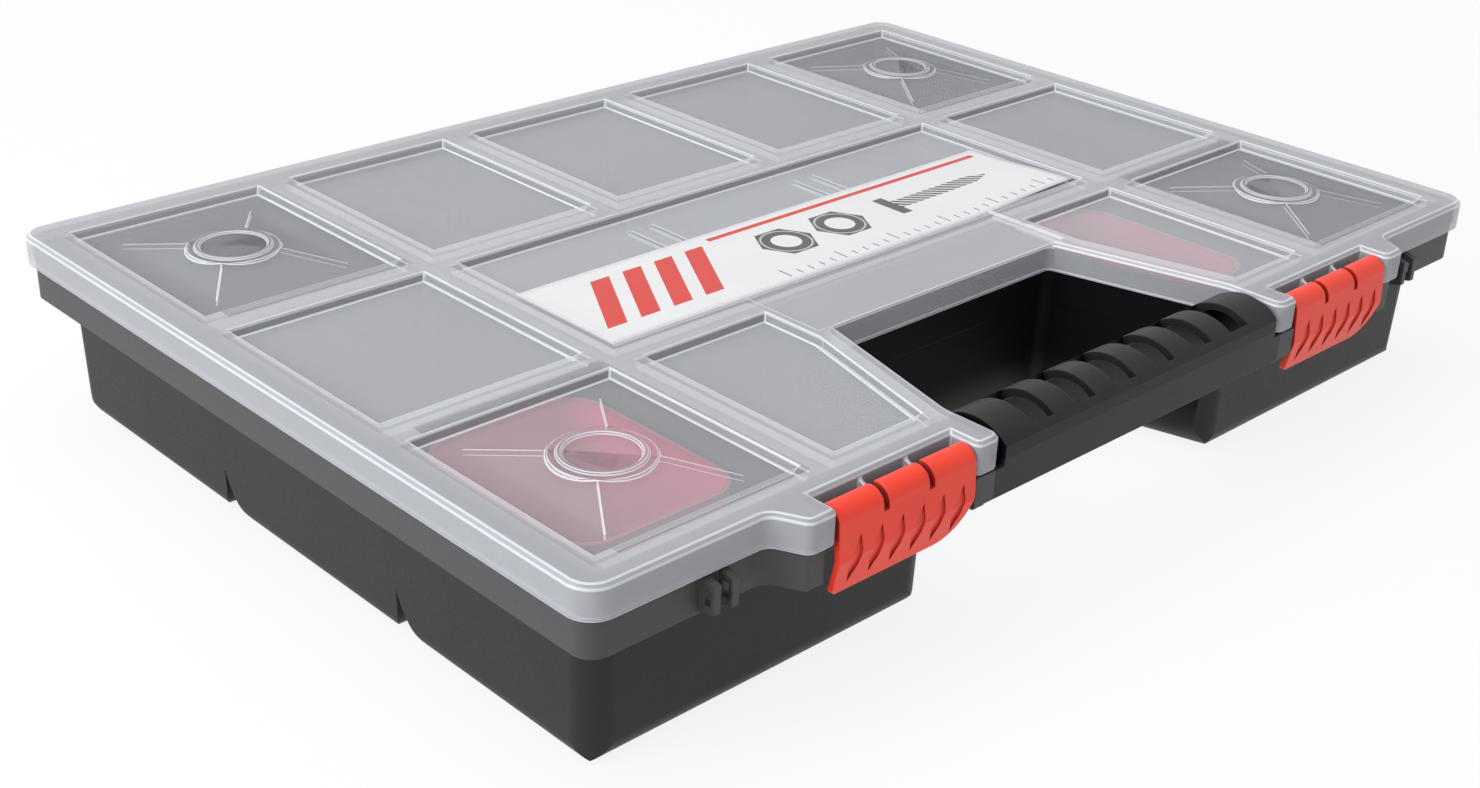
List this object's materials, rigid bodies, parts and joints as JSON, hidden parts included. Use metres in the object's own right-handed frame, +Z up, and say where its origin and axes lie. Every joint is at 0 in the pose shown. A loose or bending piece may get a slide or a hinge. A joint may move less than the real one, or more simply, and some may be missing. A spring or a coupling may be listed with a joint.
{
  "type": "screw sorting box",
  "caption": "Flat hinged-lid sorting box for screws and small parts, with a clear panelled lid, moulded carry handle, scooped compartments, loose cups and snap latches.",
  "frame": {"origin": "on the table under the middle of the closed box", "axes": "+X along the handle, from the left latch to the right one; -Y towards the handle; +Z up"},
  "size_m": [0.4, 0.3, 0.0622],
  "materials": {
    "tray_plastic": "satin",
    "lid_plastic": "milky clear",
    "latch_plastic": "satin",
    "cup_plastic": "satin",
    "label_print": "printed card"
  },
  "bodies": {
    "tray": {"tray": "tray_plastic", "cup_front_left": "cup_plastic", "cup_front_right": "cup_plastic"},
    "lid": {"lid": "lid_plastic", "label_card": "label_print"},
    "latch_left": {"latch_left": "latch_plastic"},
    "latch_right": {"latch_right": "latch_plastic"}
  },
  "joints": [
    {"name": "lid_hinge", "type": "hinge", "parent": "tray", "child": "lid", "pos_m": [0, 0.1462, 0.048], "axis": [-1, 0, 0], "range_deg": [0, 180]},
    {"name": "latch_left_hinge", "type": "hinge", "parent": "lid", "child": "latch_left", "pos_m": [-0.102, -0.1446, 0.0557], "axis": [-1, 0, 0], "range_deg": [0, 120]},
    {"name": "latch_right_hinge", "type": "hinge", "parent": "lid", "child": "latch_right", "pos_m": [0.102, -0.1446, 0.0557], "axis": [-1, 0, 0], "range_deg": [0, 120]}
  ]
}
